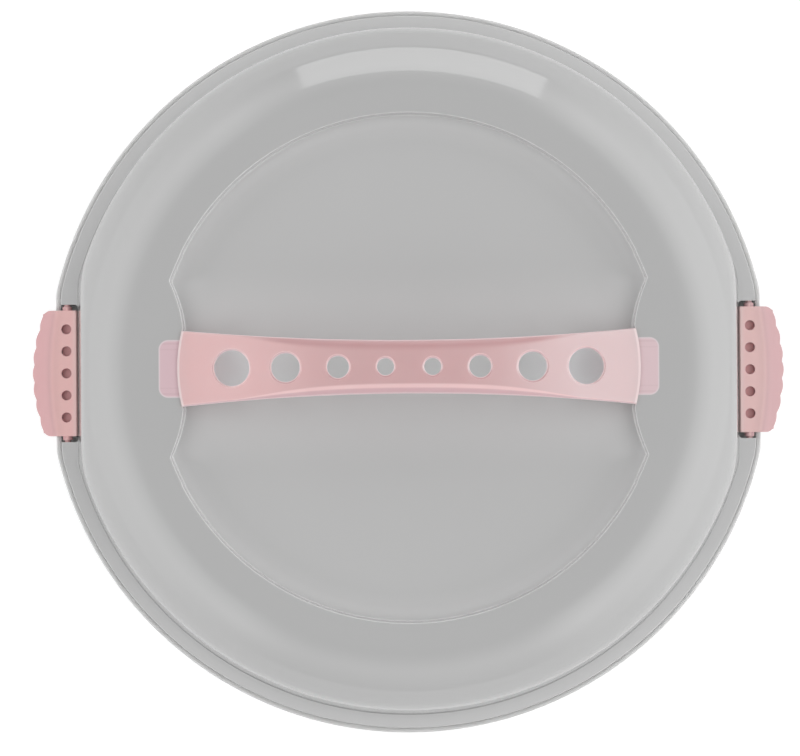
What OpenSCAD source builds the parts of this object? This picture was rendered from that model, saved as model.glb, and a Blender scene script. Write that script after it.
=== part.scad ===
// Round cake carrier: a shallow tray, a domed lid that lifts off, an arched carrying handle
// set into the lid's top, and two latches that swing on the lid and hook under the tray's edge.
// Millimetres. The origin is on the table under the middle of the tray. X runs along the handle
// from latch to latch, Z is up.

/* [Tray] */
// Outer diameter of the tray's rim
rim_d = 320; // [310:1:330]
// Thickness of the rim's upstand
rim_t = 1.5; // [1.2:0.1:1.8]
// Height of the rim above the ledge that the lid stands on
rim_h = 5.7; // [5:0.1:6.4]
// Height of that ledge above the table
ledge_z = 15.5; // [14:0.5:19]
// How far the rim is flattened behind each latch
rim_flat = 4; // [3:0.25:5]
// Height of the cake floor above the table
floor_z = 6; // [5:0.5:7.5]
// Width of the sloping wall between the cake floor and the ledge, seen from above
slope_w = 10; // [8:0.5:12]
// Outer diameter of the outer foot ring
foot_d = 242; // [220:1:250]
// Outer diameter of the inner foot ring
inner_foot_d = 120; // [90:1:150]
// Width of each foot ring
foot_w = 3; // [2.4:0.2:4]
// Number of stiffening ribs between the foot rings
rib_count = 8; // [6:1:12]
// Thickness of each stiffening rib
rib_t = 1.6; // [1.2:0.2:2.4]

/* [Lid] */
// Wall thickness of the tray and of the lid
wall = 2; // [1.6:0.1:2.3]
// Height of the lid from its foot to its top
lid_h = 119.5; // [110:0.5:130]
// Width of the flange around the dome
flange_w = 6.1; // [5.6:0.1:6.8]
// Width of the shelf between the flat of the dome and the rim, where a latch hinges
latch_shelf = 7.6; // [7.4:0.1:8]
// Lean of the dome's side and of its flats, in degrees
draft = 6; // [4:0.5:8]
// Radius of the dome's shoulder
shoulder_r = 30; // [26:0.5:32]
// Diameter of the sunk panel in the top
recess_d = 209.2; // [207:0.2:211]
// Depth of the sunk panel
recess_depth = 8; // [7:0.25:9]
// Half-length of the land that the sunk panel leaves at each end of the handle
land_half = 37; // [32:0.5:42]

/* [Handle] */
// Length of the handle over its two rounded ends
handle_l = 188.4; // [186:0.2:190]
// Width of the handle in the middle
handle_mid_w = 21.7; // [20:0.1:24]
// Width of the handle at its ends
handle_end_w = 31.8; // [30:0.1:33]
// Radius of each rounded end, seen from above
handle_end_r = 65; // [55:1:80]
// Rise of the handle's arch
handle_rise = 24; // [20:0.5:28]
// Height of the handle's ends above the top of the lid
handle_proud = 1; // [0.5:0.1:2]
// Thickness of the strap
strap_t = 3; // [2.6:0.1:3.4]
// Depth of the turned-down sides in the middle of the handle
skirt_mid = 8; // [6:0.25:10]
// Thickness of the turned-down sides
skirt_t = 2.2; // [1.8:0.1:2.6]
// Length of the foot under each end
foot_l = 6; // [5:0.25:8]
// Distance of the inner pair of holes from the middle
hole_1_x = 9.5; // [8.5:0.1:10.5]
// Distance of the second pair of holes from the middle
hole_2_x = 28.7; // [27.5:0.1:30]
// Distance of the third pair of holes from the middle
hole_3_x = 50; // [48.5:0.1:51.5]
// Distance of the outer pair of holes from the middle
hole_4_x = 72.1; // [70.5:0.1:73.5]
// Diameter of the inner pair of holes
hole_1_d = 6.8; // [6:0.1:7.6]
// Diameter of the second pair of holes
hole_2_d = 8.7; // [8:0.1:9.6]
// Diameter of the third pair of holes
hole_3_d = 11.3; // [10.5:0.1:12.5]
// Diameter of the outer pair of holes
hole_4_d = 14.1; // [13:0.1:15]
// Width of the tongue at each end
tongue_w = 23.4; // [20:0.2:25]
// Length of each tongue past the handle's end
tongue_l = 8.2; // [6:0.2:9]
// Thickness of each tongue
tongue_t = 2.6; // [2:0.1:2.8]
// Radius of the tongue's outer corners
tongue_corner = 2.5; // [1.5:0.1:3.5]

/* [Latches] */
// Length of a latch along its hinge
latch_l = 55.6; // [52:0.2:58]
// Thickness of the latch's top plate
plate_t = 2.2; // [1.9:0.1:2.5]
// Radius of the rounded inner edge of the plate, about the hinge
knuckle_r = 4.5; // [4.3:0.05:4.6]
// Height of the plate's top above the hinge
knuckle_rise = 2.9; // [2.7:0.05:3.2]
// Radius of the barrel under the plate
barrel_r = 2.2; // [2:0.05:2.3]
// Radius of the trunnion at each end of the barrel
trunnion_r = 1.4; // [1.2:0.05:1.5]
// Length of each trunnion past the barrel
trunnion_l = 4.8; // [4:0.1:5.2]
// Thickness of the hook
hook_t = 2; // [1.6:0.1:2.3]
// How far the hook reaches in under the ledge
hook_bite = 1.5; // [1:0.1:2]
// How far the grip stands out past the crease in the plate
grip_reach = 7.4; // [6.5:0.1:8.5]
// Drop from the plate's top to the edge of the grip
grip_drop = 9.5; // [8.5:0.1:10.5]
// Thickness of the grip's edge
grip_edge = 1.6; // [1.3:0.1:1.9]
// Radius of the grip's bowed outline, seen from above
grip_bow_r = 69; // [61:1:77]
// Distance from one finger scallop to the next
scallop_pitch = 7.75; // [7.25:0.05:8.25]
// Depth of the cusps between the scallops
scallop_depth = 0.5; // [0.3:0.05:0.8]
// Number of round wells along the plate
well_count = 5; // [3:1:5]
// Diameter of each well
well_d = 4.2; // [3.6:0.1:4.6]
// Distance from one well to the next
well_pitch = 9.75; // [9:0.05:10.25]
// Depth of each well
well_depth = 2.4; // [1.8:0.1:2.6]

/* [Clearances] */
// Gap under the lid's foot and under the handle's feet
seat_gap = 0.2; // [0.1:0.05:0.3]
// Gap all round between the rim and the lid's flange
lid_gap = 0.9; // [0.6:0.05:1.1]
// Gap between the handle's ends and the wall of the sunk panel
handle_gap = 0.4; // [0.3:0.05:0.6]
// Gap around each tongue in its slot
slot_gap = 0.4; // [0.3:0.05:0.5]
// Radial clearance of a trunnion in its bore
trunnion_fit = 0.05; // [0.02:0.01:0.08]
// Gap between the latch's knuckle and the flat of the dome
knuckle_gap = 0.5; // [0.4:0.05:0.8]
// Gap between the latch's plate and the top of the rim
plate_gap = 0.5; // [0.4:0.05:0.8]
// Gap between the hook and the edge of the ledge as the hook swings past it
hook_gap = 0.35; // [0.3:0.05:0.5]
// Gap between the end of the barrel and the lug that holds the trunnion
barrel_gap = 0.8; // [0.5:0.05:1.2]

/* [Hidden] */
$fn = 96;
lap = 1; // how far one feature runs into the next, so that they join
past = 1; // how far a cut runs past the face that it opens
far = 400; // a length well past the whole part

// Tray
rim_r = rim_d / 2;
rim_flat_x = rim_r - rim_flat;
rim_top = ledge_z + rim_h;
ledge_under = ledge_z - wall;
floor_under = floor_z - wall;
ledge_in_gap = 1;

// Lid, from the rim inwards
flange_r = rim_r - rim_t - lid_gap;
flange_flat_x = rim_flat_x - rim_t - lid_gap;
dome_r = flange_r - flange_w;
dome_flat_x = flange_flat_x - latch_shelf;
lid_foot = ledge_z + seat_gap;
lid_top = lid_foot + lid_h;
dish_r = dome_flat_x - wall - ledge_in_gap;
dish_floor_r = dish_r - slope_w;
slope_angle = atan2(ledge_z - floor_z, slope_w);
slope_shift = wall * tan(slope_angle / 2);

// Latch hinge, from the rim upwards
plate_under = rim_top + plate_gap;
plate_top = plate_under + plate_t;
hinge_z = plate_top - knuckle_rise;
hinge_x = dome_flat_x + knuckle_r + knuckle_gap;
flange_cover = 1.05; // plastic over a trunnion's bore
bore_r = trunnion_r + trunnion_fit;
flange_top = hinge_z + bore_r + flange_cover;
crease_in = 0.4; // the crease lies just inside the rim's outer face
crease_x = rim_r - crease_in;
grip_x = crease_x + grip_reach;
grip_z = plate_top - grip_drop;
hook_in_r = norm([rim_flat_x - hinge_x, ledge_under - hinge_z]) + hook_gap;
hook_out_r = hook_in_r + hook_t;
hook_end = -acos((rim_flat_x - hook_bite - hinge_x) / hook_in_r);
barrel_over = 1.8; // the barrel runs this far past the plate
barrel_half = latch_l / 2 + barrel_over;
notch_half = barrel_half + barrel_gap;
trunnion_half = barrel_half + trunnion_l;
bore_end_gap = 0.3;
bore_half = trunnion_half + bore_end_gap;
lug_back = 1; // plastic behind the blind bore
lug_half = bore_half + lug_back;
well_out = 0.2; // how far the wells lie outside the hinge's line
well_x = hinge_x + well_out;

// Dome
shoulder_z = lid_top - shoulder_r;
shoulder_x = dome_r - (shoulder_r + (shoulder_z - flange_top) * sin(draft)) / cos(draft);

// Sunk panel and handle
recess_r = recess_d / 2;
recess_z = lid_top - recess_depth;
handle_x = handle_l / 2;
end_arc_x = handle_x - handle_end_r;
land_x = handle_x + handle_gap;
land_side = 0.6; // the land's curved edge runs this far past the handle's side
land_flat_half = handle_end_w / 2 + land_side;
land_ease = 1.6; // how quickly the land's edge turns away from the handle
land_over = 0.5; // how far that edge runs out past the panel's round outline
land_steps = 8;
handle_end_top = lid_top + handle_proud;
handle_top = handle_end_top + handle_rise;
arch_r = (handle_x * handle_x + handle_rise * handle_rise) / (2 * handle_rise);
skirt_rise = handle_rise - skirt_mid + strap_t;
skirt_r = (handle_x * handle_x + skirt_rise * skirt_rise) / (2 * skirt_rise);
waist = (handle_end_w - handle_mid_w) / 2;
waist_r = (handle_x * handle_x + waist * waist) / (2 * waist);
tongue_top = lid_top - wall - slot_gap;
tongue_x = handle_x + tongue_l;
slot_skin = 0.02; // the slot's top stays this far under the inside of the lid's top
slot_top = lid_top - wall - slot_skin;
slot_foot = tongue_top - tongue_t - slot_gap;
slot_reach = 2 * wall + handle_gap;
handle_holes = [
    [hole_1_x, hole_1_d],
    [hole_2_x, hole_2_d],
    [hole_3_x, hole_3_d],
    [hole_4_x, hole_4_d],
];

// A disc with two flats square to X
module flatted_disc(r, flat_x) {
    intersection() {
        circle(r);
        square([2 * flat_x, far], center = true);
    }
}

// Plan of the flange, open where the latches hinge
module flange_plan(in_r, in_flat_x) {
    difference() {
        flatted_disc(flange_r, flange_flat_x);
        flatted_disc(in_r, in_flat_x);
        for (side = [-1, 1])
            translate([side * (dome_flat_x - lap + far / 2), 0])
                square([far, 2 * notch_half], center = true);
    }
}

// Distance from the middle to the edge of the land at a handle end, by its distance from the handle's axis
function land_edge(y, grow) =
    y <= land_flat_half
        ? end_arc_x + handle_gap + sqrt(pow(handle_end_r, 2) - y * y) + grow
        : let (near = land_edge(land_flat_half, grow))
          let (out = sqrt(pow(recess_r + grow, 2) - land_half * land_half) + land_over)
          near + (out - near) * pow((y - land_flat_half) / (land_half - land_flat_half), land_ease);

// Plan of the sunk panel, grown outwards for the back of its wall
module recess_plan(grow) {
    ys = concat(
        [for (i = [0 : land_steps]) land_half - (land_half - land_flat_half) * i / land_steps],
        [for (i = [1 : land_steps - 1]) land_flat_half * (1 - 2 * i / land_steps)],
        [for (i = [land_steps : -1 : 0]) -land_half + (land_half - land_flat_half) * i / land_steps]
    );
    difference() {
        circle(recess_r + grow);
        for (side = [-1, 1])
            polygon(concat(
                [for (y = ys) [side * land_edge(abs(y), grow), y]],
                [[side * (recess_r + far), -land_half], [side * (recess_r + far), land_half]]
            ));
    }
}

// Half-section of the dome, drawn inwards for the inside of its wall
module dome_profile(inset, foot) {
    translate([shoulder_x, shoulder_z])
        circle(shoulder_r - inset);
    polygon([
        [0, foot],
        [dome_r - inset, foot],
        [dome_r - inset, flange_top],
        [shoulder_x + (shoulder_r - inset) * cos(draft), shoulder_z + (shoulder_r - inset) * sin(draft)],
        [shoulder_x, shoulder_z],
        [shoulder_x, lid_top - inset],
        [0, lid_top - inset],
    ]);
}

// The dome as a solid with flats, upright beside the flange and leaning in above it
module dome_solid(inset, foot) {
    flat_x = dome_flat_x - inset;
    rise = lid_top - flange_top;
    intersection() {
        rotate_extrude()
            dome_profile(inset, foot);
        along_y(far)
            for (side = [-1, 1])
                polygon([
                    [0, 0],
                    [side * flat_x, 0],
                    [side * flat_x, flange_top],
                    [side * (flat_x - rise * tan(draft)), lid_top],
                    [0, lid_top],
                ]);
    }
}

// Plan of the handle, with waisted sides and rounded ends, drawn in for the inside of its sides
module handle_plan(inset) {
    difference() {
        intersection() {
            square([handle_l, handle_end_w - 2 * inset], center = true);
            union()
                for (side = [-1, 1])
                    translate([side * end_arc_x, 0])
                        circle(handle_end_r);
        }
        for (side = [-1, 1])
            translate([0, side * (handle_mid_w / 2 - inset + waist_r)])
                circle(waist_r, $fn = 360);
    }
}

// Extrudes an X-Z outline along Y, both ways from the middle
module along_y(length) {
    rotate([90, 0, 0])
        linear_extrude(length, center = true)
            children();
}

// Plan of a tongue, with rounded outer corners
module tongue_plan() {
    start = handle_x - foot_l;
    half = tongue_w / 2;
    translate([start, -half])
        square([tongue_x - tongue_corner - start, tongue_w]);
    translate([start, -half + tongue_corner])
        square([tongue_x - start, tongue_w - 2 * tongue_corner]);
    for (side = [-1, 1])
        translate([tongue_x - tongue_corner, side * (half - tongue_corner)])
            circle(tongue_corner);
}

// Section of the right latch
module latch_section() {
    hinge = [hinge_x, hinge_z];
    grip_top = grip_z + grip_edge;
    // plate, rounded about the hinge at its inner edge
    intersection() {
        translate([hinge_x - far, plate_under])
            square([crease_x - hinge_x + far, plate_t]);
        union() {
            translate(hinge)
                circle(knuckle_r);
            translate([hinge_x, plate_under])
                square([far, plate_t]);
        }
    }
    // barrel
    translate(hinge)
        circle(barrel_r);
    // hook, a band round the hinge that passes outside the tray's edge and ends under it
    intersection() {
        translate(hinge)
            difference() {
                circle(hook_out_r);
                circle(hook_in_r);
            }
        polygon([
            hinge,
            hinge + far * [cos(hook_end), sin(hook_end)],
            hinge + far * [1, 0],
            hinge + far * [1, 1],
        ]);
        polygon([
            [hinge_x, plate_top],
            [crease_x, plate_top],
            [grip_x, grip_top],
            [grip_x, -far],
            [hinge_x, -far],
        ]);
    }
    // sloping finger grip
    band_x = hinge_x + (hook_in_r + hook_out_r) / 2;
    polygon([
        [crease_x, plate_under],
        [crease_x, plate_top],
        [grip_x, grip_top],
        [grip_x, grip_z],
        [grip_x - grip_edge, grip_z],
        [band_x, hinge_z - knuckle_rise],
        [band_x, plate_under],
    ]);
}

// Reach of the scalloped outline of a grip at a distance from the latch's middle
function grip_outline(y) =
    grip_x - grip_bow_r + sqrt(grip_bow_r * grip_bow_r - y * y)
    - scallop_depth * (1 - abs(cos(180 * y / scallop_pitch)));

// Plan of the right latch
module latch_plan() {
    half = latch_l / 2;
    steps = 56;
    polygon(concat(
        [[hinge_x - far, -half]],
        [for (i = [0 : steps]) let (y = -half + latch_l * i / steps) [grip_outline(y), y]],
        [[hinge_x - far, half]]
    ));
}

// The right latch, with its barrel, trunnions and wells
module latch() {
    difference() {
        union() {
            intersection() {
                along_y(latch_l)
                    latch_section();
                linear_extrude(far)
                    latch_plan();
            }
            translate([hinge_x, 0, hinge_z])
                rotate([90, 0, 0]) {
                    cylinder(h = 2 * barrel_half, r = barrel_r, center = true);
                    cylinder(h = 2 * trunnion_half, r = trunnion_r, center = true);
                }
        }
        for (i = [0 : well_count - 1])
            translate([well_x, (i - (well_count - 1) / 2) * well_pitch, plate_top - well_depth])
                cylinder(h = well_depth + past, d = well_d);
    }
}

// Tray: cake floor, sloping wall, ledge and rim in one moulding, on two foot rings
module base_tray() {
    color([0.80, 0.81, 0.82]) {
        rotate_extrude()
            polygon([
                [0, floor_under],
                [0, floor_z],
                [dish_floor_r, floor_z],
                [dish_r, ledge_z],
                [dish_r + slope_shift + lap, ledge_z],
                [dish_r + slope_shift + lap, ledge_under],
                [dish_r + slope_shift, ledge_under],
                [dish_floor_r + slope_shift, floor_under],
            ]);
        translate([0, 0, ledge_under])
            linear_extrude(wall)
                difference() {
                    flatted_disc(rim_r, rim_flat_x);
                    circle(dish_r + slope_shift);
                }
        translate([0, 0, ledge_under])
            linear_extrude(rim_top - ledge_under)
                difference() {
                    flatted_disc(rim_r, rim_flat_x);
                    flatted_disc(rim_r - rim_t, rim_flat_x - rim_t);
                }
        for (d = [foot_d, inner_foot_d])
            rotate_extrude()
                translate([d / 2 - foot_w, 0])
                    square([foot_w, floor_under + wall / 2]);
        for (i = [0 : rib_count - 1])
            rotate([0, 0, 360 * (i + 0.5) / rib_count])
                translate([inner_foot_d / 2 - foot_w / 2, -rib_t / 2, floor_under / 2])
                    cube([(foot_d - inner_foot_d) / 2, rib_t, floor_under / 2 + wall / 2]);
    }
}

// Lid: dome with a sunk panel, flange with a skirt, and lugs for the latches' trunnions
module dome_lid() {
    color([0.70, 0.71, 0.71])
        difference() {
            union() {
                dome_solid(0, lid_foot);
                translate([0, 0, flange_top - wall])
                    linear_extrude(wall)
                        flange_plan(dome_r - lap, dome_flat_x - lap);
                translate([0, 0, lid_foot])
                    linear_extrude(flange_top - lid_foot)
                        flange_plan(flange_r - wall, flange_flat_x - wall);
                translate([0, 0, lid_foot])
                    linear_extrude(flange_top - lid_foot)
                        intersection() {
                            flange_plan(dome_r - lap, dome_flat_x - lap);
                            square([far, 2 * lug_half], center = true);
                        }
            }
            translate([0, 0, recess_z])
                linear_extrude(far)
                    recess_plan(0);
            difference() {
                dome_solid(wall, lid_foot - past);
                translate([0, 0, recess_z - wall])
                    linear_extrude(far)
                        recess_plan(wall);
            }
            for (side = [-1, 1]) {
                translate([side * hinge_x, 0, hinge_z])
                    rotate([90, 0, 0])
                        cylinder(h = 2 * bore_half, r = bore_r, center = true);
                translate([side * land_x - slot_reach, -tongue_w / 2 - slot_gap, slot_foot])
                    cube([2 * slot_reach, tongue_w + 2 * slot_gap, slot_top - slot_foot]);
            }
        }
}

// Handle: an arched strap with turned-down sides, a foot and a tongue at each end
module handle_strap() {
    color([0.87, 0.67, 0.68])
        difference() {
            union() {
                difference() {
                    intersection() {
                        along_y(far)
                            difference() {
                                translate([0, handle_top - arch_r])
                                    circle(arch_r, $fn = 360);
                                translate([0, handle_top - skirt_mid - skirt_r])
                                    circle(skirt_r, $fn = 360);
                            }
                        translate([0, 0, recess_z])
                            linear_extrude(far)
                                handle_plan(0);
                    }
                    intersection() {
                        along_y(far)
                            translate([0, handle_top - arch_r])
                                circle(arch_r - strap_t, $fn = 360);
                        translate([0, 0, recess_z])
                            linear_extrude(far)
                                handle_plan(skirt_t);
                    }
                }
                for (side = [-1, 1]) {
                    translate([0, 0, recess_z + seat_gap])
                        linear_extrude(handle_end_top - strap_t / 2 - recess_z - seat_gap)
                            intersection() {
                                handle_plan(0);
                                translate([side * (handle_x - foot_l + far / 2), 0])
                                    square([far, far], center = true);
                            }
                    translate([0, 0, tongue_top - tongue_t])
                        linear_extrude(tongue_t)
                            mirror([side < 0 ? 1 : 0, 0])
                                tongue_plan();
                }
            }
            for (side = [-1, 1], hole = handle_holes)
                translate([side * hole[0], 0, recess_z])
                    cylinder(h = far, d = hole[1]);
        }
}

module latch_right() {
    color([0.87, 0.69, 0.71])
        latch();
}

module latch_left() {
    color([0.87, 0.69, 0.71])
        mirror([1, 0, 0])
            latch();
}

base_tray();
dome_lid();
handle_strap();
latch_left();
latch_right();
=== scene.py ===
# %% [markdown]
# # A round cake carrier, seen from straight above
#
# The carrier is a handful of injection mouldings: a grey tray, a milky grey domed lid, a pink
# handle clipped into the lid's top, and two pink latches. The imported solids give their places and
# main sizes. This script rebuilds each moulding with what the plain solids leave out, such as
# drafted walls, rounded edges, a crowned handle and scalloped grips, and gives each its plastic.

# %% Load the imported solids
import math
from dataclasses import dataclass

import bpy
from mathutils import Matrix, Vector


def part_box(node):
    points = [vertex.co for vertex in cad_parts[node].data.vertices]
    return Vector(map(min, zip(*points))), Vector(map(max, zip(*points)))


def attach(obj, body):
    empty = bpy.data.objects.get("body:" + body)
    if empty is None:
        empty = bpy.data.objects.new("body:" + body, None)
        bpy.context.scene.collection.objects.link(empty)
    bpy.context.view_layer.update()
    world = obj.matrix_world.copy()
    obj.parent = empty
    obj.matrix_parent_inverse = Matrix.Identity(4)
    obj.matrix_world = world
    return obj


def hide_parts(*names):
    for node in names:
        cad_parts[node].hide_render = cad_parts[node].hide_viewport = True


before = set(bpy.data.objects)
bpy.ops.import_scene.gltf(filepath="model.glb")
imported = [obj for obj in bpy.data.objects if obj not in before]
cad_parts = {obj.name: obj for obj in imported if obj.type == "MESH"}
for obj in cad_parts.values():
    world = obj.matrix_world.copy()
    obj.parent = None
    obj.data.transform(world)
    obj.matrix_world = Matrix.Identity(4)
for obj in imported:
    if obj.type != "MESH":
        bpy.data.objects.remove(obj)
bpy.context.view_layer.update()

print("solids:", ", ".join(sorted(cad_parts)))

# %% [markdown]
# ## Sizes that the solids give
#
# Lengths are in millimetres until a mesh is made, because that is how mouldings are drawn. The
# outer sizes are read from the solids, so the dressed pieces follow them.

# %% Read the main sizes
MM = 0.001


def reach(node):
    """Lowest and highest corner of a solid, drawn in to whole tenths of a millimetre."""
    low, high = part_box(node)
    low = [math.ceil(x / MM * 10 - 0.01) / 10 for x in low]
    high = [math.floor(x / MM * 10 + 0.01) / 10 for x in high]
    return low, high


(_, _, _), (rim_flat_x, rim_r, rim_top) = reach("base_tray")
(_, _, lid_foot), (flange_flat_x, flange_r, lid_top) = reach("dome_lid")
(_, _, handle_foot), (tongue_x, handle_end_half, handle_top) = reach("handle_strap")
(_, _, _), (grip_x, trunnion_half, plate_top) = reach("latch_right")
print("rim radius", rim_r, "lid top", lid_top, "handle top", handle_top, "grip", grip_x)

# %% [markdown]
# ## Camera
#
# The picture is taken from straight above, about one and a half metres over the rim: the top of
# the dome looks a little larger than its foot, and the dome's drafted side is seen edge-on. The
# camera leans back by less than a degree, which moves the top of the dome up in the picture.

# %% Place the camera
PICTURE_WIDTH = 800
MM_PER_PIXEL = 0.4432  # at the height of the rim
camera_height = 1500.0
camera_lean = math.radians(0.7)
camera_roll = math.radians(-0.35)
aim = Vector((-3.7, -2.9, rim_top))  # the point of the rim's plane in the middle of the picture

camera_data = bpy.data.cameras.new("overhead_camera")
camera_data.sensor_width = 36.0
camera_data.lens = camera_data.sensor_width * camera_height / (PICTURE_WIDTH * MM_PER_PIXEL)
camera_data.clip_start = 0.1
camera_data.clip_end = 50.0
camera = bpy.data.objects.new("overhead_camera", camera_data)
bpy.context.collection.objects.link(camera)
toward_camera = Vector((0.0, -math.sin(camera_lean), math.cos(camera_lean)))
turned = (-toward_camera).to_track_quat("-Z", "Y").to_matrix() @ Matrix.Rotation(camera_roll, 3, "Z")
camera.matrix_world = Matrix.Translation((aim + toward_camera * camera_height) * MM) @ turned.to_4x4()
bpy.context.scene.camera = camera
print("lens", round(camera_data.lens, 1), "mm")

# %% [markdown]
# ## Light
#
# A product like this is shot in a white tent, with the camera looking in through the roof. The
# roof around the camera is dim, the side walls are bright, and the back and front walls are
# darker. A world whose brightness changes with direction gives all of that without noise. One
# soft box behind the carrier shows in reflections only, and draws the crisp highlight on the
# shoulder of the dome.

# %% Helpers for shader nodes
def add(nodes, kind, **settings):
    """A new shader node with some of its properties or inputs set."""
    node = nodes.new(kind)
    for name, value in settings.items():
        if hasattr(node, name):
            setattr(node, name, value)
        else:
            node.inputs[name.replace("_", " ")].default_value = value
    return node


def calculate(tree, operation, *values):
    """A Math node fed by sockets or plain numbers. Returns its result's socket."""
    node = tree.nodes.new("ShaderNodeMath")
    node.operation = operation
    for slot, value in zip(node.inputs, values):
        if isinstance(value, (int, float)):
            slot.default_value = value
        else:
            tree.links.new(value, slot)
    return node.outputs[0]


def times(tree, first, *others):
    """The product of two or more masks or numbers."""
    for other in others:
        first = calculate(tree, "MULTIPLY", first, other)
    return first


def inverse(tree, mask):
    """1 where the mask is 0, and 0 where it is 1."""
    return calculate(tree, "SUBTRACT", 1.0, mask)


def distance_of(tree, a, b):
    """Length of the line across two lengths at right angles."""
    return calculate(tree, "SQRT", calculate(tree, "MULTIPLY_ADD", a, a, times(tree, b, b)))


def coordinates(tree, kind):
    """X, Y and Z of one kind of texture coordinate, such as Object or Normal."""
    apart = tree.nodes.new("ShaderNodeSeparateXYZ")
    tree.links.new(tree.nodes.new("ShaderNodeTexCoord").outputs[kind], apart.inputs[0])
    return apart.outputs


def background_rays(tree):
    """1 for rays that show the background as such, a fifth for glossy ones, 0 for the rest."""
    ray = tree.nodes.new("ShaderNodeLightPath")
    in_gloss = times(tree, ray.outputs["Is Glossy Ray"], 0.2)
    seen = calculate(tree, "MAXIMUM", ray.outputs["Is Camera Ray"], in_gloss)
    return calculate(tree, "MAXIMUM", seen, ray.outputs["Is Transmission Ray"])


def ramp(tree, value, start, end, low=0.0, high=1.0):
    """Turns a value that runs from start to end into one that eases from low to high."""
    node = add(tree.nodes, "ShaderNodeMapRange", interpolation_type="SMOOTHSTEP")
    node.clamp = True
    for name, number in (("From Min", start), ("From Max", end), ("To Min", low), ("To Max", high)):
        if isinstance(number, (int, float)):
            node.inputs[name].default_value = number
        else:
            tree.links.new(number, node.inputs[name])
    tree.links.new(value, node.inputs["Value"])
    return node.outputs[0]


print("node helpers ready")

# %% Build the tent
ROOF_LIGHT = 0.50
ROOF_EDGE = (0.985, 0.84)  # how steeply a ray climbs where the roof turns into wall
WALL_LIGHT = 1.82
WEST_SHARE = 0.87  # the west wall against the east wall
END_SHARE = 0.15  # the back and front walls against the side walls
LOW_SHARE = 0.9  # the side walls fade a little towards the floor
LOW_END_SHARE = 0.5  # and the back and front walls more

world = bpy.data.worlds.new("light_tent")
world.use_nodes = True
bpy.context.scene.world = world
tent = world.node_tree
x, y, z = coordinates(tent, "Generated")
level = calculate(tent, "SQRT", inverse(tent, times(tent, z, z)))
level = calculate(tent, "MAXIMUM", level, 0.001)
east = calculate(tent, "DIVIDE", x, level)
north = calculate(tent, "DIVIDE", y, level)
walls = ramp(tent, east, -0.6, 0.6, WALL_LIGHT * WEST_SHARE, WALL_LIGHT)
for end in (1, -1):
    walls = times(tent, walls, ramp(tent, north, end * 0.80, end * 0.95, 1.0, END_SHARE))
low = ramp(tent, calculate(tent, "ABSOLUTE", east), 0.5, 0.9, LOW_END_SHARE, LOW_SHARE)
walls = times(tent, walls, ramp(tent, z, 0.60, 0.25, 1.0, low))
brightness = ramp(tent, z, *ROOF_EDGE, ROOF_LIGHT, walls)
seen = background_rays(tent)
brightness = calculate(tent, "MULTIPLY_ADD", brightness, inverse(tent, seen), seen)  # white behind the floor
tent.links.new(brightness, tent.nodes["Background"].inputs["Strength"])
tent.nodes["Background"].inputs["Color"].default_value = (1.0, 1.0, 1.0, 1.0)
print("tent:", ROOF_LIGHT, "in the roof,", WALL_LIGHT, "at the walls")

# %% Hang the soft box behind the carrier
box_data = bpy.data.lights.new("back_soft_box", "AREA")
box_data.shape = "RECTANGLE"
box_data.size = 1.12
box_data.size_y = 1.30
box_brightness = 2.4
box_data.energy = box_brightness * math.pi * box_data.size * box_data.size_y
soft_box = bpy.data.objects.new("back_soft_box", box_data)
bpy.context.collection.objects.link(soft_box)
soft_box.location = (0.08, 1.33, 0.85)
soft_box.rotation_euler = (math.radians(-90), 0.0, 0.0)
soft_box.visible_diffuse = False  # it draws the highlight only: the tent does the lighting
print("soft box at", [round(c, 2) for c in soft_box.location])

# %% [markdown]
# ## Floor
#
# The floor is a plain white sheet. Rays that the camera sees, directly or in a gloss, get part of
# its white as a glow, so that it reads as the picture's white background. The rest is lit, and so
# the soft shadow around the carrier stays.

# %% Lay the floor
floor_half = 8.0
FLOOR_GLOW = 0.75
FLOOR_LIT = 0.42  # what is left of the white to be lit where it glows

floor_mesh = bpy.data.meshes.new("floor")
floor_corners = [(x * floor_half, y * floor_half, 0.0) for x, y in ((-1, -1), (1, -1), (1, 1), (-1, 1))]
floor_mesh.from_pydata(floor_corners, [], [(0, 1, 2, 3)])
floor = bpy.data.objects.new("floor", floor_mesh)
bpy.context.collection.objects.link(floor)
sheet = bpy.data.materials.new("white_sheet")
sheet.use_nodes = True
tree = sheet.node_tree
tree.nodes.clear()
lit = add(tree.nodes, "ShaderNodeBsdfDiffuse", Color=(0.8, 0.8, 0.8, 1.0))
lit_part = add(tree.nodes, "ShaderNodeBsdfDiffuse", Color=(FLOOR_LIT, FLOOR_LIT, FLOOR_LIT, 1.0))
glow = add(tree.nodes, "ShaderNodeEmission", Color=(1.0, 1.0, 1.0, 1.0), Strength=FLOOR_GLOW)
both = tree.nodes.new("ShaderNodeAddShader")
tree.links.new(lit_part.outputs[0], both.inputs[0])
tree.links.new(glow.outputs[0], both.inputs[1])
choose = tree.nodes.new("ShaderNodeMixShader")
tree.links.new(background_rays(tree), choose.inputs[0])
tree.links.new(lit.outputs[0], choose.inputs[1])
tree.links.new(both.outputs[0], choose.inputs[2])
finish = tree.nodes.new("ShaderNodeOutputMaterial")
tree.links.new(choose.outputs[0], finish.inputs["Surface"])
floor_mesh.materials.append(sheet)
print("floor laid")

# %% [markdown]
# ## One effect for every plastic
#
# Moulded plastic is never one flat colour. The melt leaves faint clouds in it, the gloss changes
# a little from place to place, and the tool's surface leaves a fine grain. All four plastics share
# this, so it is a node group, placed in each material with its own values.

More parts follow.
